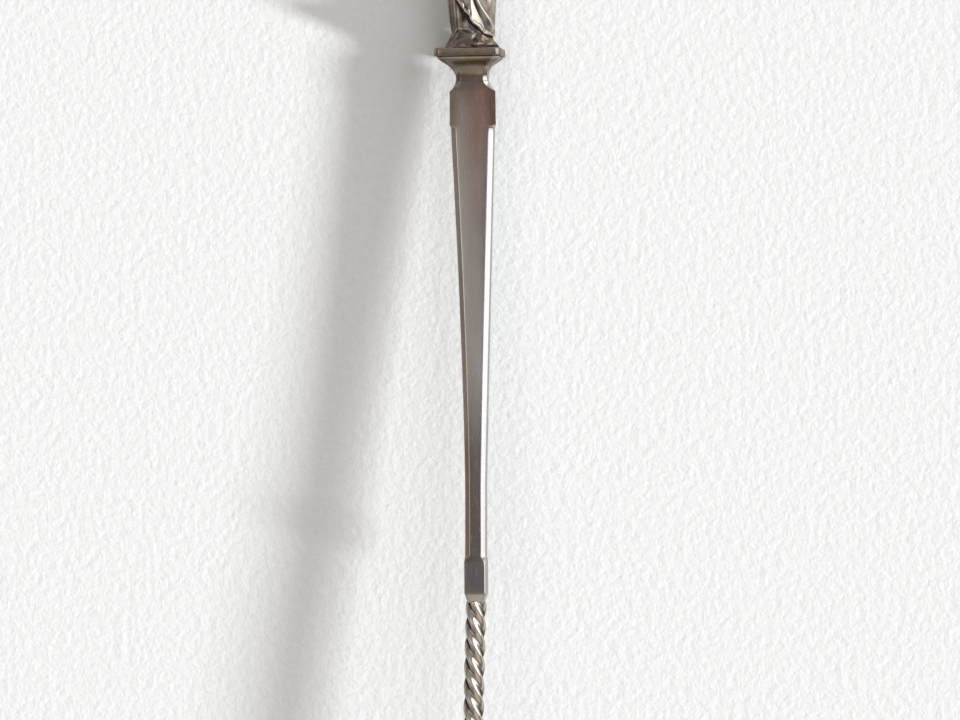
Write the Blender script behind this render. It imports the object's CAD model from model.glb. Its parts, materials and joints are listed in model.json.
import json
import math
from functools import partial

import bmesh
import bpy
import numpy as np
from mathutils import Matrix, Vector, noise


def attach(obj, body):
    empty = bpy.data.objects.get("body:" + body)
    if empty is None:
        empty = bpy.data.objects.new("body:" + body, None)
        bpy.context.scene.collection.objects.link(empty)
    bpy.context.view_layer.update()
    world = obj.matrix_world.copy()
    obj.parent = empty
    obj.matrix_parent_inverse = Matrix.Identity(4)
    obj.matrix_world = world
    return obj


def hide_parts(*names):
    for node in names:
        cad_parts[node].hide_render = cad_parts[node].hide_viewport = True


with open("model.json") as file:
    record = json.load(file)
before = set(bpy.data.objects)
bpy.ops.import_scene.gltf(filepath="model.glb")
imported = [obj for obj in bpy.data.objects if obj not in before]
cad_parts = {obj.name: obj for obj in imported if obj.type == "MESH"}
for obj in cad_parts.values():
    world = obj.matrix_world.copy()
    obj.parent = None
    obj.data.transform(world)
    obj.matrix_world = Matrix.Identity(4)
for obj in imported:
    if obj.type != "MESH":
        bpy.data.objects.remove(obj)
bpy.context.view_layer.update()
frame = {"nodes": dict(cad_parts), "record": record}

scene = bpy.context.scene
mm = 0.001
print("frame loaded:", len(frame["nodes"]), "nodes")


# Places: everything is drawn in mm on the stem or the bowl, then carried to the frame

stem = {
    "blockWidth": 5.3,
    "blockThickness": 5.1,
    "blockEdge": 0.35,
    "bevelWidth": 3.9,  # across a block's small end
    "bevelRound": 0.3,  # along the stem, where a block's end begins to narrow
    "rootBlock": 15.0,  # stations from the bowl's wall
    "rootBlockEnd": 22.0,
    "twistStart": 24.05,
    "twistEnd": 96.35,
    "blockStart": 98.4,
    "bladeFoot": 105.8,
    "bladeTop": 209.7,
    "headTop": 218.9,
    "bladeEnd": 221.4,  # inside the neck, where the capital begins
    "tierEnd": 227.25,
    "slabEnd": 229.26,
    "mountStation": 213.95,  # middle of the blade's head
    "mountHeight": 1.95,  # its front face above the axis
    "toRim": 20.0,  # degrees between the stem and the rim's plane
    "rootDrop": 4.4,  # where the axis meets the bowl's wall, below the rim
}

bowl = {
    "radius": 44.0,
    "depth": 36.0,
    "wall": 1.2,
    "lipReach": 6.0,
    "lipHalfAngle": 24.0,  # degrees to each side of the lip's middle
    "lipStart": 46.0,  # degrees from the pole
    "rimRound": 0.35,
    "inset": 0.05,  # of the shell inside the solid
    "poleAngle": 0.012,  # where the rings close to a fan
    "sides": 192,
    "rings": 46,
}


def axesMatrix(across, along, front, origin):
    matrix = Matrix((across, along, front)).transposed().to_4x4()
    return Matrix.Translation(origin) @ matrix @ Matrix.Scale(mm, 4)


def findPlaces():
    mount = next(m for m in frame["record"]["mounts"] if m["name"] == "blade_front")
    across = Vector((1, 0, 0))
    front = Vector(mount["axis"]).normalized()
    along = front.cross(across)
    origin = Vector(mount["pos_m"])
    origin -= (along * stem["mountStation"] + front * stem["mountHeight"]) * mm
    tilt = math.atan2(-along.z, along.y) + math.radians(stem["toRim"])
    bowlAlong = Vector((0, math.cos(tilt), -math.sin(tilt)))
    bowlUp = across.cross(bowlAlong)
    rootReach = bowl["radius"] * math.sqrt(1 - (stem["rootDrop"] / bowl["depth"]) ** 2)
    bowlOrigin = origin - (bowlAlong * rootReach - bowlUp * stem["rootDrop"]) * mm
    return axesMatrix(across, along, front, origin), axesMatrix(across, bowlAlong, bowlUp, bowlOrigin)


stemPlace, bowlPlace = findPlaces()
figurePlace = stemPlace @ Matrix.Translation((0, stem["slabEnd"], 0))


# Shared helpers

def smooth(value):
    share = np.clip(value, 0, 1)
    return share * share * (3 - 2 * share)


def mix(first, second, share):
    return first + (second - first) * share


def ramp(value, start, run):
    return smooth((value - start) / run)  # a run below 0 falls from 1 to 0


def readTable(table, place, column=1):
    return np.interp(place, table[:, 0], table[:, column])


cornerShare = 0.45  # of a straight run, the most that the rounding of one corner takes


def softened(points, radius, arcSteps, straightSteps, closed=True):
    points = np.asarray(points, float)  # rounds the corners of an outline and guards its straight runs
    count = len(points)
    radii = np.broadcast_to(radius, count)
    arcs = []
    for index in range(count):
        here = points[index]
        if not closed and index in (0, count - 1):
            arcs.append(here[None])
            continue
        sides = (points[index - 1] - here, points[(index + 1) % count] - here)
        shares = [min(radii[index] / np.linalg.norm(side), cornerShare) for side in sides]
        start, end = (here + side * share for side, share in zip(sides, shares))
        share = np.linspace(0, 1, arcSteps + 1)[:, None]
        arcs.append((1 - share) ** 2 * start + 2 * share * (1 - share) * here + share ** 2 * end)
    rows = []
    runs = 0.5 - 0.5 * np.cos(np.linspace(0, math.pi, straightSteps + 2)[1:-1, None])
    for index, arc in enumerate(arcs):
        rows.append(arc)
        if closed or index < count - 1:
            rows.append(mix(arc[-1], arcs[(index + 1) % count][0], runs))
    return np.concatenate(rows)


def curveThrough(points, count):
    points = np.asarray(points, float)  # a smooth line through points
    padded = np.concatenate([[2 * points[0] - points[1]], points, [2 * points[-1] - points[-2]]])
    place = np.linspace(0, len(points) - 1, count)
    index = np.minimum(place.astype(int), len(points) - 2)
    t = (place - index).reshape(-1, *[1] * (points.ndim - 1))
    a, b, c, d = (padded[index + shift] for shift in range(4))
    bend = (2 * a - 5 * b + 4 * c - d) * t ** 2
    return 0.5 * (2 * b + (c - a) * t + bend + (3 * b - a - 3 * c + d) * t ** 3)


def loft(rings, closed=False):
    rings = np.asarray(rings, float)  # a skin over rows of points, fanned shut at both ends
    rows, sides = rings.shape[:2]
    points = rings.reshape(-1, 3)
    faces = []
    for row in range(rows if closed else rows - 1):
        here, after = row * sides, (row + 1) % rows * sides
        for side in range(sides):
            turn = (side + 1) % sides
            faces.append((here + side, here + turn, after + turn, after + side))
    if not closed:
        middles = [rings[0].mean(0), rings[-1].mean(0)]
        points = np.concatenate([points, middles])
        for end, first in enumerate((0, (rows - 1) * sides)):
            centre = rows * sides + end
            for side in range(sides):
                pair = (first + side, first + (side + 1) % sides)
                faces.append((centre, *(pair if end else pair[::-1])))
    return points, faces


def octagon(width, thickness, frontCut, backCut, frontDepth=None):
    w, t = 0.5 * width, 0.5 * thickness
    down = frontCut if frontDepth is None else frontDepth
    return [
        (w - frontCut, t), (frontCut - w, t), (-w, t - down), (-w, backCut - t),
        (backCut - w, -t), (w - backCut, -t), (w, backCut - t), (w, t - down),
    ]


def ringAt(station, outline):
    return np.stack([outline[:, 0], np.broadcast_to(station, len(outline)), outline[:, 1]], 1)


def barRing(station, corners, radius, straightSteps):
    return ringAt(station, softened(corners, radius, 4, straightSteps))


def addPiece(name, skin, place, material):
    points, faces = skin
    mesh = bpy.data.meshes.new(name)
    mesh.from_pydata(np.asarray(points).tolist(), [], faces)
    mesh.transform(place)
    shell = bmesh.new()
    shell.from_mesh(mesh)
    bmesh.ops.recalc_face_normals(shell, faces=shell.faces)
    shell.to_mesh(mesh)
    shell.free()
    mesh.shade_smooth()
    if material:
        mesh.materials.append(material)
    piece = bpy.data.objects.new(name, mesh)
    scene.collection.objects.link(piece)
    return piece


def plainMesh(piece):
    graph = bpy.context.evaluated_depsgraph_get()
    mesh = bpy.data.meshes.new_from_object(piece.evaluated_get(graph))
    piece.modifiers.clear()
    piece.data = mesh
    return mesh


def standFor(piece, node):
    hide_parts(node)
    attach(piece, "root")
    print(piece.name, "stands for", node, "with", len(piece.data.polygons), "faces")


def hexColour(text):
    channels = [int(text[place:place + 2], 16) / 255 for place in (1, 3, 5)]
    return [c / 12.92 if c <= 0.04045 else ((c + 0.055) / 1.055) ** 2.4 for c in channels] + [1.0]


def addNode(tree, kind, inputs=None, **settings):
    node = tree.nodes.new(kind)
    for name, value in settings.items():
        setattr(node, name, value)
    for key, value in (inputs or {}).items():
        if isinstance(value, bpy.types.Node):
            value = value.outputs[0]
        if isinstance(value, bpy.types.NodeSocket):
            tree.links.new(value, node.inputs[key])
        else:
            node.inputs[key].default_value = value
    return node


def meshArrays(mesh):
    points = np.empty(len(mesh.vertices) * 3, np.float32)
    normals = np.empty_like(points)
    mesh.vertices.foreach_get("co", points)
    mesh.vertex_normals.foreach_get("vector", normals)
    return points.reshape(-1, 3), normals.reshape(-1, 3)


def setField(piece, name, values):
    field = piece.data.attributes.new(name, "FLOAT", "POINT")
    field.data.foreach_set("value", np.clip(values, 0, 1).astype(np.float32))


def markHollows(piece, reach, dirt=0.0, shelter=0.0):
    mesh = piece.data  # how deep each point lies below its surroundings, and how far it stands out
    points, normals = meshArrays(mesh)
    count = len(points)
    ends = np.empty(len(mesh.edges) * 2, np.int32)
    mesh.edges.foreach_get("vertices", ends)
    ends = ends.reshape(-1, 2)
    first, second = ends[:, 0], ends[:, 1]
    step = np.linalg.norm(points[first] - points[second], axis=1).mean()
    degree = np.bincount(ends.ravel(), minlength=count)[:, None]
    soft = points.copy()
    for _ in range(max(4, int(2 * (reach * mm / step) ** 2))):
        total = np.stack([
            np.bincount(first, soft[second, axis], count) + np.bincount(second, soft[first, axis], count)
            for axis in range(3)
        ], 1)
        soft = 0.5 * soft + 0.5 * total / degree
    fullDepth = 0.12 * reach * mm  # a point this far in or out counts in full
    depth = ((soft - points) * normals).sum(1) / fullDepth
    setField(piece, "hollow", depth + dirt)
    setField(piece, "wear", -depth - shelter)


# Materials: sterling silver in four states, and the paper below

silverStates = [
    "polishedSilver",  # hand-polished sheet: a soft mirror under thin tarnish, with hairlines from use
    "twistedSilver",  # drawn bar, twisted and polished: bright ridges, dark in the flutes
    "castSilver",  # cast and chased: softer gloss, brown-black in the hollows, bright where handled
    "solderedSilver",  # filed after soldering: satin, a little yellower, with pits
]

silverLooks = {  # one value for each state, sizes and depths in mm
    "metal": ("#cbc9c6", "#cfc9c2", "#cbc4ba", "#c5bcae"),
    "edge": ("#f2f0ee", "#9c8f82", "#cfc8c0", "#dad4cc"),  # the tint at a grazing angle
    "brown": ("#857970", "#83736a", "#7d6e61", "#847560"),  # the films of tarnish
    "grey": ("#7b7873", "#7b736c", "#77706a", "#7b7565"),
    "violet": ("#7b7983", "#807c86", "#7a7680", "#7b7780"),
    "bloom": ("#a07364", "#83695f", "#7a5f54", "#83695f"),  # the redder stain on the blade's head
    "hollow": ("#3c342e", "#2a2320", "#332a25", "#322a23"),
    "film": (0.08, 0.36, 0.3, 0.35),  # how much of it lies everywhere
    "filmSpread": (0.3, 0.3, 0.4, 0.4),
    "cloudSize": (7.0, 4.0, 4.0, 4.0),
    "cloudLength": (30.0, 6.0, 4.0, 4.0),  # drawn out along the stem by wiping
    "roughness": (0.2, 0.17, 0.2, 0.32),
    "roughnessSpread": (0.1, 0.08, 0.12, 0.12),
    "hairlines": (0.8, 0.4, 0.25, 0.6),
    "hairSize": (0.1, 0.1, 0.1, 0.12),  # a little coarser than real ones so that they show
    "hairLength": (9.0, 3.0, 2.5, 2.0),
    "waveSize": (9.0, 3.0, 1.6, 2.0),
    "waveDepth": (0.02, 0.012, 0.012, 0.015),
    "grainSize": (0.5, 0.4, 0.3, 0.35),
    "grainDepth": (0.0012, 0.001, 0.0025, 0.003),
}

silverShared = {  # the same in every state; a band is the part of a pattern that counts
    "worn": "#e6e1d8",  # where tarnish is rubbed away
    "greyBand": {"From Min": 0.42, "From Max": 0.56},
    "violetBand": {"From Min": 0.66, "From Max": 0.8},
    "dirtBand": {"From Min": 0.1, "From Max": 0.55, "To Max": 0.92},
    "hairBand": {"From Min": 0.7, "From Max": 0.76},
    "hairTurns": ((0.07, 0.0), (-0.32, 3.7)),  # radians, and a shift so that the two sets differ
    "hairDepth": 0.004,
    "hairRub": 0.5,  # how far a hairline bares the metal
    "wearRub": 0.7,
    "hairRough": 0.12,
    "dirtRough": 0.25,
}


def newMaterial(name):
    material = bpy.data.materials.new(name)
    material.use_nodes = True
    material.node_tree.nodes.clear()
    add = partial(addNode, material.node_tree)
    return material, add, add("ShaderNodeTexCoord").outputs["Object"]


def silverMaterial(name):
    state = silverStates.index(name)
    look = silverShared | {key: values[state] for key, values in silverLooks.items()}
    material, add, place = newMaterial(name)
    cloudScale, hairScale = (
        [1 / (look[key] * mm) for key in (size, length, size)]
        for size, length in (("cloudSize", "cloudLength"), ("hairSize", "hairLength")))
    stretched = add("ShaderNodeMapping", {"Vector": place, "Scale": cloudScale})
    cloud = add("ShaderNodeTexNoise", {
        "Vector": stretched, "Scale": 1.0, "Detail": 4.0, "Roughness": 0.6})
    hue = add("ShaderNodeTexNoise", {"Vector": stretched, "Scale": 0.7, "Detail": 2.0, "Distortion": 0.4})
    speck = add("ShaderNodeTexNoise", {
        "Vector": place, "Scale": 1 / (look["grainSize"] * mm), "Detail": 3.0, "Roughness": 0.65})
    wave = add("ShaderNodeTexNoise", {
        "Vector": place, "Scale": 1 / (look["waveSize"] * mm), "Detail": 1.0})
    hollow, wear, laid, bloom = (
        add("ShaderNodeAttribute", attribute_name=field).outputs["Fac"]
        for field in ("hollow", "wear", "tarnish", "bloom"))
    scratches = []  # two crossing sets of hairlines
    for turn, offset in look["hairTurns"]:
        slant = add("ShaderNodeMapping", {
            "Vector": place, "Location": (offset, 0, 0), "Rotation": (0, 0, turn), "Scale": hairScale})
        lines = add("ShaderNodeTexNoise", {
            "Vector": slant, "Scale": 1.0, "Detail": 1.0, "Roughness": 0.4})
        scratches.append(add("ShaderNodeMapRange", {
            "Value": lines, **look["hairBand"], "To Max": look["hairlines"]}))
    scratch = add("ShaderNodeMath", dict(enumerate(scratches)), operation="MAXIMUM")
    spread = 0.5 * look["filmSpread"]
    patchy = add("ShaderNodeMapRange", {
        "Value": cloud, "From Min": 0.3, "From Max": 0.7,
        "To Min": look["film"] - spread, "To Max": look["film"] + spread})
    film = add("ShaderNodeMath", {0: patchy, 1: laid}, operation="ADD", use_clamp=True)
    greyShare, violetShare = (
        add("ShaderNodeMapRange", {"Value": hue, **look[band]})
        for band in ("greyBand", "violetBand"))
    patches = add("ShaderNodeMapRange", {"Value": speck, "To Min": 0.4, "To Max": 1.0})
    dirt = add("ShaderNodeMath", {0: hollow, 1: patches}, operation="MULTIPLY")
    dirtShare = add("ShaderNodeMapRange", {
        "Value": dirt, **look["dirtBand"]}, interpolation_type="SMOOTHSTEP")
    worn = add("ShaderNodeMath", {0: wear, 1: look["wearRub"]}, operation="MULTIPLY")
    rubbed = add("ShaderNodeMath", {0: scratch, 1: look["hairRub"], 2: worn}, operation="MULTIPLY_ADD")
    tint = hexColour(look["brown"])
    for share, over in ((greyShare, "grey"), (violetShare, "violet"), (bloom, "bloom")):
        tint = add("ShaderNodeMix", {
            "Factor": share, 6: tint, 7: hexColour(look[over])}, data_type="RGBA").outputs[2]
    colour = hexColour(look["metal"])
    layers = ((film, tint), (dirtShare, hexColour(look["hollow"])), (rubbed, hexColour(look["worn"])))
    for share, over in layers:
        colour = add("ShaderNodeMix", {"Factor": share, 6: colour, 7: over}, data_type="RGBA").outputs[2]
    roughness = add("ShaderNodeMapRange", {
        "Value": speck, "From Min": 0.3, "From Max": 0.7,
        "To Min": look["roughness"] - 0.4 * look["roughnessSpread"],
        "To Max": look["roughness"] + 0.6 * look["roughnessSpread"]})
    for share, more in ((scratch, look["hairRough"]), (dirtShare, look["dirtRough"])):
        roughness = add("ShaderNodeMath", {0: share, 1: more, 2: roughness}, operation="MULTIPLY_ADD")
    planished = add("ShaderNodeBump", {
        "Height": wave, "Distance": look["waveDepth"] * mm, "Strength": 1.0})
    grained = add("ShaderNodeBump", {
        "Height": speck, "Distance": look["grainDepth"] * mm, "Strength": 1.0, "Normal": planished})
    cut = add("ShaderNodeBump", {
        "Height": scratch, "Distance": look["hairDepth"] * mm, "Strength": 0.6, "Normal": grained,
    }, invert=True)
    surface = add("ShaderNodeBsdfPrincipled", {
        "Base Color": colour, "Metallic": 1.0, "Roughness": roughness, "Normal": cut,
        "Specular Tint": hexColour(look["edge"])})
    add("ShaderNodeOutputMaterial", {"Surface": surface})
    return material


paper = {
    "colour": "#eceff1",
    "shade": "#e1e4e6",
    "toothSize": 2.0,  # mm, the felt marks of the sheet
    "toothDepth": 0.19,
    "roughness": 0.85,
    "half": 6.0,  # m
    "below": 0.05,  # mm under the bowl's flat
}


def paperMaterial():
    material, add, place = newMaterial("feltMarkedPaper")  # matt rag paper, dimpled by the drying felt
    tooth = add("ShaderNodeTexNoise", {
        "Vector": place, "Scale": 1 / (paper["toothSize"] * mm), "Detail": 4.0, "Roughness": 0.6})
    tint = add("ShaderNodeMix", {
        "Factor": tooth.outputs[0], 6: hexColour(paper["shade"]), 7: hexColour(paper["colour"]),
    }, data_type="RGBA")
    dimples = add("ShaderNodeBump", {
        "Height": tooth, "Distance": paper["toothDepth"] * mm, "Strength": 1.0})
    surface = add("ShaderNodeBsdfPrincipled", {
        "Base Color": tint.outputs[2], "Roughness": paper["roughness"],
        "Specular IOR Level": 0.2, "Normal": dimples})
    add("ShaderNodeOutputMaterial", {"Surface": surface})
    return material


silver = {name: silverMaterial(name) for name in silverStates}
print("materials made:", ", ".join(silver))


# Bowl

def lipShare(turn):
    away = np.arcsin(np.abs(np.sin(turn))) / math.radians(bowl["lipHalfAngle"])
    return np.cos(0.5 * math.pi * np.clip(away, 0, 1)) ** 2


def bowlRing(polar, offset, lift=0.0):
    turn = np.linspace(0, 2 * math.pi, bowl["sides"], endpoint=False)
    start = math.radians(bowl["lipStart"])
    lip = bowl["lipReach"] * smooth((polar - start) / (0.5 * math.pi - start))
    reach = (bowl["radius"] + offset) * math.sin(polar) + lip * lipShare(turn)
    height = -(bowl["depth"] + offset) * math.cos(polar) + lift
    return np.stack([reach * np.cos(turn), reach * np.sin(turn), np.full_like(turn, height)], 1)


def buildBowl():
    quarter = 0.5 * math.pi
    polars = np.linspace(bowl["poleAngle"], quarter, bowl["rings"])
    outside = [bowlRing(polar, -bowl["inset"]) for polar in polars[:-1]]
    inside = [bowlRing(polar, -bowl["wall"]) for polar in polars[-2::-1]]
    half = 0.5 * bowl["wall"]
    edge = []
    for turn in np.linspace(0, math.pi, 9):
        lift = bowl["rimRound"] * (math.sin(turn) - 1)
        edge.append(bowlRing(quarter, -half + half * math.cos(turn), lift))
    piece = addPiece("bowl_shell", loft(outside + edge + inside), bowlPlace, silver["polishedSilver"])
    for vertex in piece.data.vertices:
        vertex.co.z = max(vertex.co.z, 0)  # worn flat where it rests
    standFor(piece, "bowl")


# Wire round the rim: a half-round section swept along the rim by nodes

rimWire = {
    "Radius": bowl["radius"] + 0.2,
    "Lip Reach": bowl["lipReach"],
    "Lip Half Angle": math.radians(bowl["lipHalfAngle"]),
    "Reach": 1.32,
    "Half Height": 1.2,
}


def newTree(name, sizes):
    tree = bpy.data.node_groups.new(name, "GeometryNodeTree")
    sockets = [(label, "INPUT", "NodeSocketFloat") for label in sizes]
    sockets += [("Finish", "INPUT", "NodeSocketMaterial"), ("Geometry", "OUTPUT", "NodeSocketGeometry")]
    for label, way, kind in sockets:
        tree.interface.new_socket(name=label, in_out=way, socket_type=kind)
    add = partial(addNode, tree)
    return tree, add, add("NodeGroupInput").outputs


def growPiece(name, tree, values, place):
    piece = bpy.data.objects.new(name, bpy.data.meshes.new(name))
    scene.collection.objects.link(piece)
    modifier = piece.modifiers.new("grow", "NODES")
    modifier.node_group = tree
    for item in tree.interface.items_tree:
        if item.in_out == "INPUT":
            modifier[item.identifier] = values[item.name]
    plainMesh(piece).transform(place)
    return piece


def finishTree(add, geometry, material):
    rounded = add("GeometryNodeSetShadeSmooth", {"Geometry": geometry})
    real = add("GeometryNodeRealizeInstances", {"Geometry": rounded})
    coated = add("GeometryNodeSetMaterial", {"Geometry": real, "Material": material})
    add("NodeGroupOutput", {"Geometry": coated})


def buildRimWire():
    tree, add, given = newTree("rimWire", rimWire)
    ring = add("GeometryNodeCurvePrimitiveCircle", {"Resolution": 256, "Radius": 1.0})
    spot = add("GeometryNodeInputPosition")
    axes = add("ShaderNodeSeparateXYZ", {0: spot})
    side = add("ShaderNodeMath", {0: axes.outputs["Y"]}, operation="ABSOLUTE")
    turn = add("ShaderNodeMath", {0: side}, operation="ARCSINE")
    away = add("ShaderNodeMath", {
        0: turn, 1: given["Lip Half Angle"]}, operation="DIVIDE", use_clamp=True)
    swing = add("ShaderNodeMath", {0: away, 1: 0.5 * math.pi}, operation="MULTIPLY")
    fall = add("ShaderNodeMath", {0: swing}, operation="COSINE")
    square = add("ShaderNodeMath", {0: fall, 1: fall}, operation="MULTIPLY")
    reach = add("ShaderNodeMath", {
        0: square, 1: given["Lip Reach"], 2: given["Radius"]}, operation="MULTIPLY_ADD")
    moved = add("ShaderNodeVectorMath", {0: spot, "Scale": reach}, operation="SCALE")
    path = add("GeometryNodeSetPosition", {"Geometry": ring, "Position": moved})
    level = add("GeometryNodeSetCurveNormal", {"Curve": path}, mode="Z_UP")
    outline = add("GeometryNodeCurvePrimitiveCircle", {"Resolution": 24, "Radius": 1.0})
    scale = add("ShaderNodeCombineXYZ", {"X": given["Reach"], "Y": given["Half Height"], "Z": 1.0})
    section = add("GeometryNodeTransform", {"Geometry": outline, "Scale": scale})
    swept = add("GeometryNodeCurveToMesh", {"Curve": level, "Profile Curve": section})
    finishTree(add, swept, given["Finish"])
    lowered = bowlPlace @ Matrix.Translation((0, 0, -rimWire["Half Height"]))
    values = {**rimWire, "Finish": silver["polishedSilver"]}
    standFor(growPiece("rim_bead", tree, values, lowered), "rim_wire")


# Drop-shaped plate under the joint

tongue = {
    "top": 6.5,  # below the rim
    "length": 22.0,
    "width": 14.0,
    "narrowing": 0.28,
    "thickness": 1.8,
    "edge": 0.75,
    "sunk": 0.25,  # into the bowl's wall
    "sides": 72,
    "rows": 16,
    "smallest": 0.02,  # share of the outline where the rings close to a fan
}


def tongueRing(share, offset):
    turn = np.linspace(0, 2 * math.pi, tongue["sides"], endpoint=False)
    span = tongue["length"] / bowl["depth"]
    polar = math.acos(tongue["top"] / bowl["depth"]) - 0.5 * (1 - share * np.cos(turn)) * span
    across = share * np.sin(turn) * (1 + tongue["narrowing"] * np.cos(turn)) * 0.5 * tongue["width"]
    side = across / bowl["radius"]
    reach = (bowl["radius"] + offset) * np.sin(polar)
    height = -(bowl["depth"] + offset) * np.cos(polar)
    return np.stack([reach * np.sin(side), reach * np.cos(side), height], 1)


def buildTongue():
    shares = np.linspace(tongue["smallest"], 1, tongue["rows"]) ** 0.8
    domes = mix(tongue["edge"], tongue["thickness"], np.sqrt(1 - shares ** 2))
    rings = [tongueRing(share, dome) for share, dome in zip(shares, domes)]
    skirt = [(1.015, 0.7 * tongue["edge"]), (1.03, 0.2), (1.05, -tongue["sunk"])]
    skirt.append((tongue["smallest"], -tongue["sunk"]))
    rings += [tongueRing(share, offset) for share, offset in skirt]  # into the wall and back under
    piece = addPiece("tongue_drop", loft(rings), bowlPlace, silver["solderedSilver"])
    standFor(piece, "bowl_tongue")


# Stem root: the flared foot on the bowl's wall and the lower block

root = {
    "width": 13.0,
    "thickness": 3.4,
    "footEdge": 1.3,
    "fillet": 0.6,  # of solder, round the foot
    "filletReach": 0.55,
    "sunk": 0.3,
    "round": 0.25,
}


def wallStation(x, z):
    toBowl = bowlPlace.inverted() @ stemPlace  # where a line along the stem meets the bowl's outer face
    start = np.array([list(toBowl @ Vector((px, 0, pz))) for px, pz in zip(x, z)])
    step = np.array((toBowl.to_3x3() @ Vector((0, 1, 0)))[:])
    sizes = np.array([bowl["radius"], bowl["radius"], bowl["depth"]]) - root["sunk"]
    p, d = start / sizes, step / sizes
    a, b, c = d @ d, p @ d, (p * p).sum(1) - 1
    return (-b + np.sqrt(b * b - a * c)) / a


def buildRoot():
    shares = np.concatenate([np.linspace(0, 0.2, 10), np.linspace(0.25, 1, 24)])  # closer in the fillet
    rings = []
    for share in shares:
        ease = smooth(share)
        grow = root["fillet"] * math.exp(-share * stem["rootBlock"] / root["filletReach"])
        width = mix(root["width"], stem["blockWidth"], ease) + 2 * grow
        thickness = mix(root["thickness"], stem["blockThickness"], ease) + 2 * grow
        edge = mix(root["footEdge"], stem["blockEdge"], share)
        outline = softened(octagon(width, thickness, edge, edge), root["round"], 4, 3)
        base = wallStation(outline[:, 0], outline[:, 1])
        rings.append(ringAt(base + share * (stem["rootBlock"] - base), outline))
    cuts = [stem["blockEdge"]] * 2
    block = [stem["blockWidth"], stem["blockThickness"], *cuts]
    rows = [[stem["rootBlock"] + 0.5, *block], [stem["rootBlockEnd"], *block]]
    rows.append([stem["twistStart"], stem["bevelWidth"], stem["bevelWidth"], *cuts])
    for station, *sizes in softened(rows, stem["bevelRound"], 4, 3, False):
        rings.append(barRing(station, octagon(*sizes), root["round"], 3))
    piece = addPiece("root_foot", loft(rings), stemPlace, silver["polishedSilver"])
    standFor(piece, "stem_root")


# Twisted bar: four soft ridges with hollow flutes between them, turned along the stem by nodes

twistOverlap = 0.2  # mm of the bar inside each block

twistBar = {
    "Length": stem["twistEnd"] - stem["twistStart"] + 2 * twistOverlap,
    "Ridges": 4.0,
    "Mean Radius": 2.2,
    "Ridge": 0.28,  # above and below the mean
    "Lead": 19.2,
    "Phase": -0.09,
    "Bow": 0.92,  # to the left, half way
}


def buildTwist():
    tree, add, given = newTree("twistedBar", twistBar)
    end = add("ShaderNodeCombineXYZ", {"Y": given["Length"]})
    line = add("GeometryNodeCurvePrimitiveLine", {"End": end})
    fine = add("GeometryNodeResampleCurve", {"Curve": line, "Count": 420})
    reached = add("GeometryNodeSplineParameter")
    half = add("ShaderNodeMath", {0: reached.outputs["Factor"], 1: math.pi}, operation="MULTIPLY")
    swing = add("ShaderNodeMath", {0: half}, operation="SINE")
    aside = add("ShaderNodeMath", {0: swing, 1: given["Bow"]}, operation="MULTIPLY")
    left = add("ShaderNodeVectorMath", {0: (-1, 0, 0), "Scale": aside}, operation="SCALE")
    bent = add("GeometryNodeSetPosition", {"Geometry": fine, "Offset": left})
    turns = add("ShaderNodeMath", {0: reached.outputs["Length"], 1: given["Lead"]}, operation="DIVIDE")
    angle = add("ShaderNodeMath", {
        0: turns, 1: -2 * math.pi, 2: given["Phase"]}, operation="MULTIPLY_ADD")
    wound = add("GeometryNodeSetCurveTilt", {"Curve": bent, "Tilt": angle})
    outline = add("GeometryNodeCurvePrimitiveCircle", {"Resolution": 96, "Radius": 1.0})
    spot = add("GeometryNodeInputPosition")
    axes = add("ShaderNodeSeparateXYZ", {0: spot})
    turn = add("ShaderNodeMath", {0: axes.outputs["Y"], 1: axes.outputs["X"]}, operation="ARCTAN2")
    lobes = add("ShaderNodeMath", {0: turn, 1: given["Ridges"]}, operation="MULTIPLY")
    swell = add("ShaderNodeMath", {0: lobes}, operation="COSINE")
    reach = add("ShaderNodeMath", {
        0: swell, 1: given["Ridge"], 2: given["Mean Radius"]}, operation="MULTIPLY_ADD")
    moved = add("ShaderNodeVectorMath", {0: spot, "Scale": reach}, operation="SCALE")
    section = add("GeometryNodeSetPosition", {"Geometry": outline, "Position": moved})
    bar = add("GeometryNodeCurveToMesh", {"Curve": wound, "Profile Curve": section, "Fill Caps": True})
    finishTree(add, bar, given["Finish"])
    start = stemPlace @ Matrix.Translation((0, stem["twistStart"] - twistOverlap, 0))
    piece = growPiece("twisted_bar", tree, {**twistBar, "Finish": silver["twistedSilver"]}, start)
    facing = meshArrays(piece.data)[1][:, 0]
    left, right = ramp(facing, -0.3, -0.5), ramp(facing, 0.6, 0.3)  # the sides are wiped less
    markHollows(piece, 0.7, 0.2 + 0.6 * left + 0.3 * right, 0.6 * left + 0.5 * right)
    setField(piece, "tarnish", 0.7 * left + 0.6 * right)
    standFor(piece, "twisted_stem")


# Blade: block, chamfered taper, flat head and the lower half of the neck

blade = {
    "topWidth": 10.4,
    "footWidth": 5.05,
    "straight": 18.0,
    "taperPower": 1.28,
    "topThickness": 3.9,
    "footThickness": 4.4,
    "chamferTop": 1.3,  # across the front
    "chamferFoot": 1.12,
    "chamferDepth": 0.9,
    "backChamfer": 0.5,
    "stop": 0.9,
    "footStop": 2.0,
    "stopRise": 1.2,  # the chamfers run on into the head
    "headWidth": 11.3,
    "headEdge": 0.12,
    "headShift": 0.24,  # to the right
    "undercut": 0.1,  # how much narrower the head is at the back
    "crown": 0.1,  # how much the front falls to its edges
    "round": 0.22,
    "rubbed": 0.55,  # the softer edge by the right chamfer
    "rubbedTop": 1.25,  # and near its upper end
    "bow": 0.25,  # to the right in the middle
}


def bladeShare(station):
    return (station - stem["bladeFoot"]) / (stem["bladeTop"] - stem["bladeFoot"])


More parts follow.
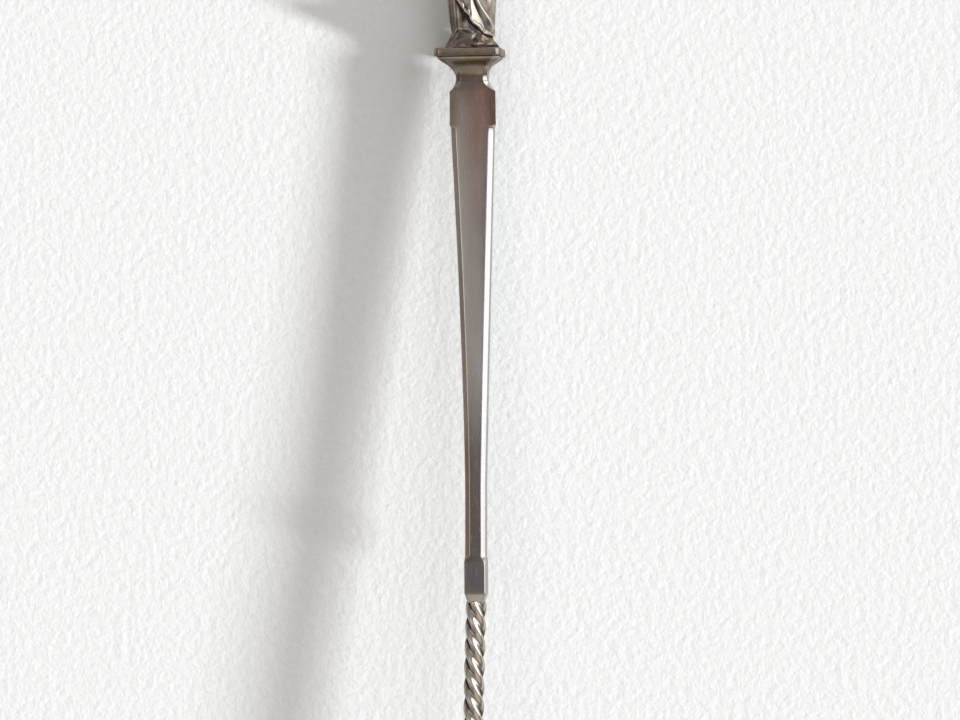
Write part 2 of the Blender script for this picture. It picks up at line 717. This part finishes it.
def bladeWidth(station):
    run = stem["bladeTop"] - stem["bladeFoot"] - blade["straight"]
    share = max(0, (station - stem["bladeFoot"] - blade["straight"]) / run)
    return mix(blade["footWidth"], blade["topWidth"], share ** blade["taperPower"])


def bladeThickness(station):
    return mix(blade["footThickness"], blade["topThickness"], bladeShare(station))


def chamferWidth(station):
    return mix(blade["chamferFoot"], blade["chamferTop"], bladeShare(station))


neckBelow = np.array([  # the neck's lower scallop: station, half width, half depth, bevel
    (218.9, 5.65, 1.95, 0.2), (219.3, 5.3, 1.95, 0.55), (219.75, 4.87, 1.95, 0.85),
    (220.3, 4.45, 1.95, 1.0), (220.8, 4.15, 1.96, 1.08), (221.4, 3.9, 1.97, 1.1),
])
bevelFall = 0.7  # mm down for each mm across the neck's bevel


def bladeRows():
    edge = stem["blockEdge"]  # station, width, thickness, front cut across and down, back cut
    block = [stem["blockWidth"], stem["blockThickness"], edge, edge, edge]
    rows = [[stem["twistEnd"], stem["bevelWidth"], stem["bevelWidth"], edge, edge, edge]]
    rows += [[stem["blockStart"], *block], [stem["bladeFoot"], *block]]
    rows = softened(rows, stem["bevelRound"], 5, 3, False).tolist()
    first, last = stem["bladeFoot"], stem["bladeTop"] + blade["stopRise"]
    for share in np.linspace(0.06, 1, 14):  # the block runs out into the blade
        station = first + blade["footStop"] * share
        rise = smooth(share)
        rows.append([
            station,
            mix(stem["blockWidth"], bladeWidth(station), rise),
            mix(stem["blockThickness"], bladeThickness(station), rise),
            mix(edge, chamferWidth(station), rise),
            mix(edge, blade["chamferDepth"], rise),
            mix(edge, blade["backChamfer"], share),
        ])
    for station in np.linspace(first + blade["footStop"], last - blade["stop"], 70)[1:-1]:  # the taper
        sizes = [bladeWidth(station), bladeThickness(station), chamferWidth(station)]
        rows.append([station, *sizes, blade["chamferDepth"], blade["backChamfer"]])
    for share in np.linspace(0, 1, 13):  # the round stops of its chamfers
        station = last - blade["stop"] * (1 - share)
        left = math.sqrt(1 - share * share)
        across = mix(blade["headEdge"], chamferWidth(station), left)
        down = mix(blade["headEdge"], blade["chamferDepth"], left)
        width = mix(bladeWidth(station), blade["headWidth"], smooth(share))
        rows.append([station, width, blade["topThickness"], across, down, blade["backChamfer"]])
    head = [blade["headWidth"], blade["topThickness"], *[blade["headEdge"]] * 2, blade["backChamfer"]]
    for station in (last + 0.8, mix(last, stem["headTop"], 0.5), stem["headTop"] - 0.12):
        rows.append([station, *head])
    for station, w, d, bevel in curveThrough(neckBelow, 24):
        rows.append([station, 2 * w, 2 * d, bevel, bevelFall * bevel, bevel])
    return rows


bladeTarnish = np.array([  # station, how brown: rubbed bright in the middle, dull near block and neck
    (96.3, 0.05), (98.2, 0.1), (98.8, 0.78), (106, 0.8), (112, 0.9), (132, 0.85), (141, 0.5),
    (152, 0.12), (170, 0.1), (183, 0.24), (195, 0.44), (204, 0.52), (211, 0.64), (214, 0.7),
    (218, 0.72), (219.5, 0.85), (221.4, 0.95),
])

bladeStains = {  # the station where each begins and how far it runs, below 0 where it fades
    "headEnd": (219.5, -2.0),
    "sideTurn": (150.0, 30.0),
    "redStart": (172.0, 26.0),
    "redEnd": (221.0, -3.0),
    "footStart": (104.0, 6.0),
    "footEnd": (142.0, -14.0),
    "chamferTop": (205.0, -40.0),
    "headRim": (208.0, 3.0),
    "rubbedTop": (178.0, 30.0),
}


def bladeFields(row, x, z):
    station, width, thickness, across, down, _ = row
    grown = {name: ramp(station, *run) for name, run in bladeStains.items()}
    half, isFront, isCut, below = 0.5 * width, z > 0, across > 0.9, grown["headEnd"]
    lean = mix(-0.08, 0.05, grown["sideTurn"]) * below  # browner to one side
    bright = ramp(x, half - across - 0.1, 0.2)  # the right chamfer is rubbed clean
    dull = ramp(z, 0.5 * thickness - down, -0.2) * (np.abs(x) > half - 0.1)  # and the sides are not
    stained = grown["redStart"] * grown["redEnd"]
    patch = np.exp(-((x - 0.9) / 3.5) ** 2)
    spot = np.exp(-((x - 1.4) / 1.7) ** 2 - ((station - 211.5) / 4.5) ** 2)
    foot = 0.12 * grown["footStart"] * grown["footEnd"]
    arris = x + half - across  # from the edge between the front and the left chamfer
    chamfer = ramp(arris, -0.05, -0.15) * isCut * (station < stem["headTop"])
    unrubbed = chamfer * mix(0.5, 0.7, grown["chamferTop"])
    rim = ramp(np.abs(x), half - 2.2, 1.6) * grown["headRim"] * below
    laid = readTable(bladeTarnish, station) + lean * x
    laid = laid * (1 - 0.3 * stained * (1 - patch) * below) * (1 - bright)
    film = np.maximum.reduce([laid + mix(0.35, 0.55, x < 0) * rim, 0.8 * dull, unrubbed])
    bloom = (0.68 * stained * patch + 0.32 * spot + foot + 0.45 * chamfer) * isFront
    worn = 0.7 * np.exp(-(arris / 0.13) ** 2) * isCut * isFront
    return film, bloom, worn


def buildBlade():
    rings, fields = [], []
    for row in bladeRows():
        station, width, thickness, across, down, backCut = row
        rubbed = mix(blade["rubbed"], blade["rubbedTop"], ramp(station, *bladeStains["rubbedTop"]))
        radii = [mix(blade["round"], rubbed, ramp(down, 0.3, 0.5)), *[blade["round"]] * 7]
        ring = barRing(station, octagon(width, thickness, across, backCut, down), radii, 5)
        x, z = ring[:, 0].copy(), ring[:, 2]
        fields.append(bladeFields(row, x, z))
        isFront = z > 0
        ring[isFront, 2] -= blade["crown"] * np.abs(2 * x[isFront] / width) ** 3
        ring[:, 0] += blade["bow"] * math.sin(math.pi * np.clip(bladeShare(station), 0, 1))
        head = ramp(station, stem["bladeTop"], 1.5) * ramp(station, stem["bladeEnd"], -2.5)
        ring[:, 0] *= 1 - head * blade["undercut"] * (0.5 - z / thickness)
        ring[:, 0] += head * blade["headShift"]
        rings.append(ring)
    piece = addPiece("blade_bar", loft(rings), stemPlace, silver["polishedSilver"])
    for name, rows, end in zip(("tarnish", "bloom", "wear"), zip(*fields), (0.95, 0.0, 0.0)):
        setField(piece, name, np.concatenate([*rows, (0.0, end)]))
    standFor(piece, "blade")


# Capital and slab

neckAbove = np.array([  # cove and ovolo: station, half width, half depth, the corner's cut and rounding
    (221.4, 3.9, 1.97, 1.1, 0.25), (221.8, 3.84, 1.98, 1.1, 0.25), (222.2, 3.82, 2.0, 1.1, 0.25),
    (222.7, 3.88, 2.06, 1.1, 0.25), (223.2, 4.0, 2.18, 1.1, 0.26), (223.7, 4.18, 2.36, 1.12, 0.28),
    (224.16, 4.41, 2.6, 1.15, 0.3), (224.6, 4.72, 2.92, 1.2, 0.33), (225.12, 5.2, 3.42, 1.25, 0.37),
    (225.6, 5.85, 4.05, 1.3, 0.42), (226, 6.45, 4.62, 1.35, 0.5), (226.35, 6.95, 5.05, 1.4, 0.6),
    (226.65, 7.3, 5.35, 1.4, 0.7), (226.9, 7.5, 5.5, 1.4, 0.75), (227.05, 7.55, 5.5, 1.4, 0.8),
    (227.18, 7.52, 5.42, 1.4, 0.8), (227.25, 7.4, 5.25, 1.4, 0.8),
])
neckShift = 0.5  # mm to the left that the plinth was fitted off the stem's axis

neckTarnish = np.array([  # station, how brown
    (221.4, 0.75), (222.5, 0.8), (223.3, 0.45), (224.4, 0.5), (225.6, 0.7), (226.3, 0.75),
    (226.7, 0.3), (227.2, 0),
])

slab = {
    "width": 16.2,
    "depth": 11.96,
    "corner": 2.1,
    "upperEdge": 0.55,
    "lowerEdge": 0.25,
    "shift": 1.2 * neckShift,
}


def buildCapital():
    rings = []
    for station, w, d, cut, rounding in curveThrough(neckAbove, 90):
        ring = barRing(station, octagon(2 * w, 2 * d, cut, cut, bevelFall * cut), rounding, 5)
        ring[:, 0] -= neckShift * ramp(station, 222, 4)
        rings.append(ring)
    points, faces = loft(rings)
    piece = addPiece("neck_capital", (points, faces), stemPlace, silver["castSilver"])
    station = points[:, 1]
    halfWidth, cut = (readTable(neckAbove, station, column) for column in (1, 3))
    bright = ramp(points[:, 0], halfWidth - cut - 0.1, 0.2) * ramp(station, 225, -1.5)
    setField(piece, "tarnish", readTable(neckTarnish, station) * (1 - bright))
    standFor(piece, "capital")


def buildSlab():
    bottom, top = stem["tierEnd"], stem["slabEnd"]
    low, high = slab["lowerEdge"], slab["upperEdge"]
    turns = np.linspace(0, 0.5 * math.pi, 9)
    profile = [(bottom, 1.5)]  # station, inset
    profile += [(bottom + low * (1 - math.cos(t)), low * (1 - math.sin(t))) for t in turns]
    profile += [(top - high * (1 - math.cos(t)), high * (1 - math.sin(t))) for t in turns[::-1]]
    profile += [(top, 1.3 * high), (top, 3.0)]
    rings = []
    for station, inset in profile:
        w, d = 0.5 * (slab["width"] - 2 * inset), 0.5 * (slab["depth"] - 2 * inset)
        corners = [(w, d), (-w, d), (-w, -d), (w, -d)]
        rings.append(ringAt(station, softened(corners, slab["corner"] - 0.5 * inset, 14, 7)))
    points, faces = loft(rings)
    points[:, 0] -= slab["shift"]
    piece = addPiece("plinth_plate", (points, faces), stemPlace, silver["castSilver"])
    setField(piece, "tarnish", mix(0.36, 0.7, ramp(points[:, 1], top - 0.3, -1.4)))
    standFor(piece, "plinth_slab")


# Figure: x to its left hand, y up, z to the front; heights in mm above the slab

figure = {
    "height": 37.1,
    "forward": 0.5,
    "voxel": 0.11,
    "kept": 0.62,  # of the casting's triangles
    "mantleThickness": 0.5,
    "moundWidth": 11.8,
    "moundDepth": 9.4,
    "head": (4.1, 5.2, 4.8),  # wide, high, deep
    "pleats": 9,
    "pleatDepth": 0.24,
    "hemRadius": 4.6,  # to the mantle's lower edge
    "foldRadius": 4.9,
    "neckFade": 0.4,  # over which its upper edge begins
    "robeFoot": 1.0,
    "robeTop": 33.0,
    "robeRows": 330,
    "robeSides": 460,
    "squareness": 2.5,  # the robe's power, where 2 is an ellipse
}

part = figure["height"] / 100  # the casting's proportions are in hundredths of its height

robeTable = np.array([  # height, half width, half depth
    (6.5, 11.3, 9.4), (10.8, 12.3, 10.1), (21.6, 13.1, 10), (31.3, 13.7, 9.7), (43, 13.2, 9.2),
    (54, 12, 8.5), (62, 11.1, 7.8), (70, 12.1, 8), (76, 13.2, 7.5), (79.8, 11.9, 6.6),
    (82.2, 7.8, 5.3), (84.1, 4, 4), (89, 3.4, 3.4),
]) * part

mantleHem = np.array([  # degrees from the front, height of the mantle's lower edge
    (-180, 7), (-125, 7), (-110, 11), (-99, 30), (-90, 47), (-60, 41.5), (-42, 36), (-33, 30.9),
    (-25.7, 28), (-18.7, 25.5), (-13.1, 23), (-2.8, 20.4), (1, 17.8), (7.6, 15.2), (22.2, 12.6),
    (31, 10.2), (41, 8.2), (51, 7.5), (80, 7), (180, 7),
])

mantleNeck = np.array([  # degrees from the front, height of its upper edge
    (-180, 84), (-120, 84), (-96, 55), (-90, 52), (-60, 54), (-30, 57.5), (0, 62.5), (25, 69),
    (45, 76), (60, 84), (180, 84),
])

mantleFolds = np.array([  # mm across at the level and for each mm down, mm above the robe likewise
    (-11.5, 0.47, 0.05, 0), (-10.2, 0.47, 0.5, 0), (-8.9, 0.47, 0.05, 0), (-7.6, 0.47, 0.5, 0),
    (-6.2, 0.47, 0.05, 0), (-4.9, 0.47, 0.5, 0), (-3.6, 0.47, 0.05, 0), (-2.6, 0.4, 0.4, 0),
    (-1.7, 0.25, 0.08, 0), (-0.8, 0.065, 0.12, 0), (0.45, 0.065, 0.82, 0.13), (1.85, 0.28, 0.02, 0),
    (2.65, 0.47, 0.75, 0), (2.8, 0.47, 0.73, 0), (3.3, 0.47, 0.35, 0), (4.2, 0.47, 0.12, 0),
    (5.7, 0.47, 0.5, 0), (6.7, 0.47, 0.0, 0), (7.7, 0.47, 0.46, 0), (8.8, 0.47, 0.02, 0),
    (9.8, 0.47, 0.45, 0), (11.2, 0.47, 0.1, 0),
])
foldLevel = 8.57  # the height where the table is read

tunicHem = np.array([  # degrees from the front, height of the tunic's lower edge
    (-180, 2.6), (-80, 3), (-49, 3.7), (-24, 4.5), (-8, 4.2), (4, 3.4), (17, 2.6), (30, 2.4), (180, 2.6),
])


def easedTable(table, place, column):
    shifts = (-0.8, -0.4, 0, 0.4, 0.8)
    return np.mean([readTable(table, place + shift, column) for shift in shifts], 0)


def mantleEdge(height, turn):
    degrees = np.degrees(turn)  # how far above the lower edge and below the upper one
    hem, ahead = (readTable(mantleHem, degrees + step) * part for step in (0, 1))
    slope = (ahead - hem) / (math.radians(1) * figure["hemRadius"])
    return (height - hem) / np.sqrt(1 + slope ** 2), readTable(mantleNeck, degrees) * part - height


def foldRise(height, turn):
    rise = np.empty_like(turn)  # each row of points cuts the folds at its own height
    for row in range(len(height)):
        down = foldLevel - height[row, 0]
        place = np.maximum.accumulate(mantleFolds[:, 0] + mantleFolds[:, 1] * down)
        size = np.clip(mantleFolds[:, 2] + mantleFolds[:, 3] * down, 0, 1)
        across = figure["foldRadius"] * np.sin(turn[row]) + 0.1 * math.sin(0.8 * height[row, 0])
        rise[row] = np.mean([np.interp(across + shift, place, size) for shift in (-0.1, 0, 0.1)], 0)
    return rise


def drapery(height, turn):
    degrees = np.degrees(turn)
    above, below = mantleEdge(height, turn)
    mantle = smooth(above / 0.25 + 0.5) * smooth(below / figure["neckFade"] + 0.5)
    pleat = np.cos(figure["pleats"] * turn + 0.7 * np.sin(2 * turn) + 0.05 * height)  # uneven
    tunic = figure["pleatDepth"] * ((0.5 + 0.5 * pleat) ** 0.75 - 0.55)
    hem = height - readTable(tunicHem, degrees) - 0.2 * pleat
    tunic += 0.06 * np.exp(-((hem - 0.3) / 0.25) ** 2) - 0.2 * smooth(0.5 - hem / 0.5)  # rolled hem
    front = smooth((105 - np.abs(degrees)) / 25)
    folds = foldRise(height, turn) * smooth((23 - height) / 5) * front
    for depth, rise in ((0.6, 0.28), (1.9, 0.24), (3.3, 0.2)):  # round the chest, below its upper edge
        band = np.exp(-((below - depth - 0.15 * np.sin(3 * turn)) / 0.5) ** 2)
        folds += rise * band * front
    sway = 7 * turn + 0.5 * np.sin(0.3 * height)  # broad folds down the back
    folds += 0.34 * (1 - front) * (0.4 + 0.6 * np.cos(sway)) * smooth((30 - height) / 8)
    rolls = 0.3 * np.exp(-((above - 0.42) / 0.28) ** 2) * smooth(below / figure["neckFade"])
    return mix(tunic, figure["mantleThickness"] + folds, mantle) + rolls


def turnGrid(rows, sides):
    return np.meshgrid(rows, np.linspace(-math.pi, math.pi, sides, endpoint=False), indexing="ij")


def robeSkin():
    heights = np.linspace(figure["robeFoot"], figure["robeTop"], figure["robeRows"])
    height, turn = turnGrid(heights, figure["robeSides"])
    fold = drapery(height, turn) * smooth((31.4 - height) / 1.5)
    side, ahead = np.sin(turn), np.cos(turn)
    power = figure["squareness"]
    flat = (np.abs(side) ** power + np.abs(ahead) ** power) ** (-1 / power)
    x = (easedTable(robeTable, heights, 1)[:, None] * flat + fold) * side
    z = (easedTable(robeTable, heights, 2)[:, None] * flat + fold) * ahead
    return loft(np.stack([x, height, z], 2))


moundTable = np.array([  # height, half width
    (0, 6.3), (0.5, 6.25), (1.0, 6.05), (1.8, 5.5), (2.5, 5.1), (3.4, 4.75), (4.2, 4.2), (4.6, 3.0),
])


def moundSkin():
    height, turn = turnGrid(np.linspace(0, moundTable[-1, 0], 44), 160)
    lumps = 0.03 * np.sin(5 * turn + 1.2 * height) + 0.025 * np.sin(9 * turn - 2 * height + 1)
    reach = readTable(moundTable, height) * (1 + lumps)
    depth = figure["moundDepth"] / figure["moundWidth"]
    return loft(np.stack([reach * np.sin(turn), height, depth * reach * np.cos(turn)], 2))


def sweep(points, radii, sides=20, steps=40, ripple=0.0, waves=9):
    path = curveThrough(np.asarray(points, float) * part, steps)
    girth = curveThrough(np.asarray(radii, float) * part, steps)
    girth = girth * (1 + ripple * np.sin(np.linspace(0, waves * math.pi, steps)))
    heading = np.gradient(path, axis=0)
    heading /= np.linalg.norm(heading, axis=1)[:, None]
    normal = np.cross(heading[0], (0.3, 0.2, 0.9))
    turn = np.linspace(0, 2 * math.pi, sides, endpoint=False)[:, None]
    rings = []
    for centre, ahead, radius in zip(path, heading, girth):
        normal = normal - ahead * (normal @ ahead)
        normal /= np.linalg.norm(normal)
        sideways = np.cross(ahead, normal)
        rings.append(centre + radius * (np.cos(turn) * normal + np.sin(turn) * sideways))
    return loft(rings)


def ballSkin(shape, rows=72, sides=108):
    up = np.linspace(-0.5, 0.5, rows + 2)[1:-1] * math.pi  # a ball whose surface a rule moves
    up, turn = turnGrid(up, sides)
    direction = np.stack([np.cos(up) * np.sin(turn), np.sin(up), np.cos(up) * np.cos(turn)], 2)
    return loft(shape(np.degrees(turn), np.degrees(up), direction))


faceForms = [  # degrees round, degrees up, spread round, spread up, rise in hundredths of the head
    (0, -6, 6, 12, 6.5), (0, -15, 8, 4.5, 5), (20, 7, 10, 7, -5), (20, 6.5, 7, 4.2, 2.6),
    (18, 19, 14, 4.5, 2.6), (0, -28, 12, 2.6, 2.8), (0, -34.5, 10, 2.8, 2.6),
    (0, -31.2, 13, 1.3, -1.2), (0, -52, 16, 9, 5), (36, -14, 13, 12, 2.2),
]


def headShape(turn, up, direction):
    wide, high, deep = figure["head"]
    rise = np.zeros_like(turn)
    for formTurn, formUp, spreadTurn, spreadUp, height in faceForms:
        across = (np.abs(turn) - formTurn) / spreadTurn
        rise += 0.01 * high * height * np.exp(-across ** 2 - ((up - formUp) / spreadUp) ** 2)
    jaw = 1 - 0.22 * smooth((-up - 5) / 60)  # narrower below the cheeks
    x = (0.5 * wide + rise) * direction[..., 0] * jaw
    y = (0.5 * high + 0.3 * rise) * direction[..., 1]
    z = (0.5 * deep + rise) * direction[..., 2]
    chin = figure["height"] - high
    return np.stack([x, y + chin + 0.5 * high, z + 0.04 * deep], 2)


def hairShape(turn, up, direction):
    wide, high, deep = figure["head"]
    hairline = smooth((np.abs(turn) - 50) / 14) + smooth((up - 30 + 0.1 * np.abs(turn)) / 10)
    cover = np.clip(hairline, 0, 1) * smooth((up + 55) / 25)
    strands = 0.07 * np.sin(0.34 * turn + 2.2 * np.sin(np.radians(up * 2.2)))
    thick = -0.5 + cover * (0.85 + strands)
    chin = figure["height"] - high
    x = (0.5 * wide + thick) * direction[..., 0]
    y = (0.5 * high + thick - 0.2) * direction[..., 1] + chin + 0.5 * high + 0.1
    z = (0.5 * deep + thick) * direction[..., 2] - 0.1
    return np.stack([x, y, z], 2)


lockTable = [  # how far to the side, height, how far ahead, shift ahead, share of the wave
    (3.8, 99, 3.8, -0.5, 0), (6.1, 95, 6.6, -0.4, 0), (6.6, 90.5, 7, -0.8, 1),
    (6.4, 86.5, 6.6, -1.2, -1), (7, 82.5, 6.2, -1.6, 1), (7.2, 79.8, 5.6, -1.8, 0),
]


def hairLocks():
    locks = []
    for turn in (-178, -146, -116, -92, -70, 70, 92, 116, 146):
        s, c = math.sin(math.radians(turn)), math.cos(math.radians(turn))
        wave = 0.5 if turn % 4 else -0.5
        points = [
            (out * s, up, ahead * c + shift + way * wave) for out, up, ahead, shift, way in lockTable]
        locks.append(sweep(points, (0.7, 1.6, 1.8, 1.9, 1.7, 0.7), 12, 40, 0.05, 11))
    return locks


arms = [  # the figure's right one, then its left
    {
        "path": [
            (-7, 78.4, -1.1), (-12.7, 73.3, -0.8), (-14.6, 62.5, 1.1), (-10, 59.3, 7), (-4.3, 62.8, 9.2)],
        "radii": (2.7, 3.9, 4.3, 3.9, 2.6),
        "palm": (-1.4, 64.6, 9.8),
        "fingerStep": (-0.55, 0.85, -0.05),
        "fingerReach": 3.6,
    },
    {
        "path": [
            (7, 78.4, -1.1), (12.7, 73.3, -0.8), (14.8, 61, -0.3), (12.4, 53.4, 5.9), (8.1, 51.2, 9.2)],
        "radii": (2.7, 4.2, 4.7, 4.3, 2.8),
        "palm": (5.8, 50.6, 10.6),
        "fingerStep": (0.15, 0.95, 0.1),
        "fingerReach": 2.2,
    },
]


def handSkins(arm):
    places = (arm["path"][-1], arm["palm"], arm["fingerStep"])
    wrist, palm, fingerStep = (np.array(place) for place in places)
    skins = [sweep([wrist, 0.5 * (wrist + palm), palm], (1.3, 1.5, 1.25), 14, 16)]
    ahead = (palm - wrist) / np.linalg.norm(palm - wrist)
    for index in range(4):
        base = palm + fingerStep * (index - 1.5)
        knuckle = base + ahead * 1.1 + (0, 0, 0.25)
        tip = base + ahead * arm["fingerReach"] * (1 - 0.08 * abs(index - 1.5)) + (0, 0, -0.25)
        skins.append(sweep([base - ahead * 0.6, knuckle, tip], (0.55, 0.55, 0.38), 10, 14))
    thumb = palm - fingerStep * 2.4
    joints = [thumb - ahead * 0.9, thumb + ahead * 0.4, thumb + ahead * 1.5]
    skins.append(sweep(joints, (0.6, 0.6, 0.4), 10, 12))
    return skins


def figureSkins():
    skins = [robeSkin(), moundSkin(), ballSkin(headShape, 96, 144), ballSkin(hairShape), *hairLocks()]
    skins += [sweep(arm["path"], arm["radii"], 28, 60, 0.035, 13) for arm in arms]
    return skins + [skin for arm in arms for skin in handSkins(arm)]


def finishCasting(piece):
    points, normals = meshArrays(piece.data)  # chased ground below the robe, and tarnish in the tunic
    x, y, z = points[:, 0], points[:, 1], points[:, 2] - figure["forward"]
    ground = ramp(y, 4.4, -1.2) * ramp(y, 0.05, 0.3)
    ground *= ramp(np.hypot(x / 4.8, z / 3.9), 0.92, 0.12)
    for index in np.nonzero(ground > 0)[0]:
        lump = noise.fractal(Vector(points[index]) * 0.6, 0.9, 2.2, 3)
        points[index] += normals[index] * (0.14 * ground[index] * lump)
    piece.data.vertices.foreach_set("co", points.ravel())
    above = mantleEdge(y, np.arctan2(x, z))[0]
    tunic = smooth(0.5 - above / 0.3) * ramp(y, 20, -4)
    base = ramp(y, 1.5, -0.9)  # where the ground meets the slab
    down = foldLevel - y
    facet = ramp(x - 0.065 * down, 0.49, 0.2) * ramp(x - 0.28 * down, 1.95, -0.3) * (z > 0)
    mantle = ramp(above, 0.5, 0.3) * ramp(y, 22, -4) * (1 - facet)  # rubbed bright only on one fold
    mantle *= mix(0.3, 0.7, ramp(x - 0.47 * down, 2.75, 0.4)) * (1 - 0.6 * ramp(x, 4.4, 0.6))
    low = ramp(y, 8.5, -2.5)
    laid = [tunic * (1 - 0.35 * low), 0.6 * ground, base, mantle]
    setField(piece, "tarnish", np.maximum.reduce(laid))
    deep = tunic * ramp(y, 5.2, 1.6)
    dirt = deep * mix(0.2, 0.38, ramp(x, -4.1, 0.4)) - 0.12 * (1 - tunic)
    dirt -= 0.4 * low * (1 - base) * (1 - deep)
    dirt += (0.8 * base + 8 * ramp(y, 0.7, -0.4)) * smooth(x / 2 + 0.3)
    return dirt, 12 * base + 0.5 * ground + 0.4 * tunic * low


def buildFigure():
    points, faces, first = [], [], 0
    for skinPoints, skinFaces in figureSkins():
        points.append(skinPoints)
        faces += [tuple(index + first for index in face) for face in skinFaces]
        first += len(skinPoints)
    points = np.concatenate(points) + (0, 0, figure["forward"])
    piece = addPiece("figure_cast", (points, faces), Matrix.Identity(4), silver["castSilver"])
    cast = piece.modifiers.new("cast", "REMESH")
    cast.mode = "VOXEL"
    cast.voxel_size = figure["voxel"]
    cast.use_smooth_shade = True
    ease = piece.modifiers.new("ease", "SMOOTH")
    ease.factor = 0.5
    ease.iterations = 2
    thin = piece.modifiers.new("thin", "DECIMATE")
    thin.ratio = figure["kept"]
    mesh = plainMesh(piece)
    dirt, shelter = finishCasting(piece)
    mesh.transform(figurePlace)
    mesh.update()
    markHollows(piece, 0.7, dirt, shelter)
    standFor(piece, "figure")


# Camera, light and floor

photoView = {
    "width": 960,
    "pixel": 0.24,  # mm on the blade
    "lean": 7.0,  # degrees toward the ladle's right side
    "roll": 0.43,
    "distance": 1200.0,
    "station": 154.5,  # along the stem, at the picture's middle
    "across": 1.32,
}


def buildCamera():
    target = stemPlace @ Vector((photoView["across"], photoView["station"], 0))
    sideways, upward, toFront = (stemPlace.to_3x3().col[axis].normalized() for axis in range(3))
    lean = math.radians(photoView["lean"])
    back = sideways * math.sin(lean) + toFront * math.cos(lean)
    data = bpy.data.cameras.new("camera")
    data.sensor_width = 36.0
    data.lens = data.sensor_width * photoView["distance"] / (photoView["pixel"] * photoView["width"])
    data.clip_start, data.clip_end = 0.01, 50.0
    camera = bpy.data.objects.new("camera", data)
    side = upward.cross(back).normalized()
    turned = Matrix((side, back.cross(side), back)).transposed()
    turned = turned @ Matrix.Rotation(math.radians(photoView["roll"]), 3, "Z").inverted()
    camera.matrix_world = Matrix.Translation(target + back * photoView["distance"] * mm) @ turned.to_4x4()
    scene.collection.objects.link(camera)
    scene.camera = camera


window = {
    "elevation": 15.0,
    "azimuth": -18.0,  # from the ladle's right, toward the bowl
    "size": 6.5,  # degrees across
    "strength": 6.0,
    "colour": "#ffffff",
}

horizonColour = "#b6b4b0"

roomPatches = {  # direction, cosine where it fades in, cosine where it is full, colour, strength
    "upper walls": ((0, 0, 1), 0.08, 0.45, "#7c7874", 1.0),
    "far end": ((0, 1, 0.35), 0.55, 0.95, "#bbb6b0", 1.0),
    "near end": ((0, -0.78, 0.62), 0.7, 0.95, "#dbcfc0", 1.0),
    "ceiling": ((0, 0.05, 1), 0.88, 0.97, "#a8a8a9", 1.0),
    "warm ceiling": ((0, 0.28, 0.96), 0.95, 0.995, "#b3a29b", 1.0),
    "left ceiling": ((-0.5, 0.05, 0.86), 0.903, 0.951, "#c9c4bd", 1.0),
    "evening sky": ((0.5, 0, 0.86), 0.93, 0.98, "#9896ad", 1.0),
    "left window": ((-0.63, 0.06, 0.77), 0.975, 0.99, "#f6efe6", 1.3),
    "window wall": ((0.8, 0.32, 0.47), 0.845, 0.905, "#ffffff", 2.1),
}


def buildWorld():
    world = bpy.data.worlds.new("room")
    scene.world = world
    world.use_nodes = True
    world.node_tree.nodes.clear()
    add = partial(addNode, world.node_tree)
    heading = add("ShaderNodeTexCoord").outputs["Generated"]
    colour = hexColour(horizonColour)
    for direction, fade, full, tint, strength in roomPatches.values():
        toward = add("ShaderNodeVectorMath", {
            0: heading, 1: Vector(direction).normalized()}, operation="DOT_PRODUCT").outputs["Value"]
        share = add("ShaderNodeMapRange", {
            "Value": toward, "From Min": fade, "From Max": full}, interpolation_type="SMOOTHSTEP")
        bright = [channel * strength for channel in hexColour(tint)[:3]] + [1.0]
        colour = add("ShaderNodeMix", {
            "Factor": share.outputs[0], 6: colour, 7: bright}, data_type="RGBA").outputs[2]
    room = add("ShaderNodeBackground", {"Color": colour, "Strength": 1.0})
    add("ShaderNodeOutputWorld", {"Surface": room})


def buildWindow():
    data = bpy.data.lights.new("window", "SUN")
    data.energy = window["strength"]
    data.angle = math.radians(window["size"])
    data.color = hexColour(window["colour"])[:3]
    light = bpy.data.objects.new("window", data)
    up, around = math.radians(window["elevation"]), math.radians(window["azimuth"])
    toLight = Vector((math.cos(up) * math.cos(around), math.cos(up) * math.sin(around), math.sin(up)))
    light.rotation_euler = toLight.to_track_quat("Z", "Y").to_euler()
    light.visible_glossy = False  # the metal mirrors the wall round the window instead
    scene.collection.objects.link(light)


def buildFloor():
    half, level = paper["half"], -paper["below"] * mm
    corners = [(-half, -half, level), (half, -half, level), (half, half, level), (-half, half, level)]
    mesh = bpy.data.meshes.new("floor")
    mesh.from_pydata(corners, [], [(0, 1, 2, 3)])
    mesh.materials.append(paperMaterial())
    floor = bpy.data.objects.new("floor", mesh)
    scene.collection.objects.link(floor)


buildBowl()
buildRimWire()
buildTongue()
buildRoot()
buildTwist()
buildBlade()
buildCapital()
buildSlab()
buildFigure()

dowel = frame["nodes"]["finial_dowel"]  # hidden inside, so its own mesh stays
dowel.data.materials.clear()
dowel.data.materials.append(silver["solderedSilver"])
print("pieces done")

buildCamera()
buildWorld()
buildWindow()
buildFloor()
scene.view_settings.view_transform = "Standard"
print("camera, light and floor done")
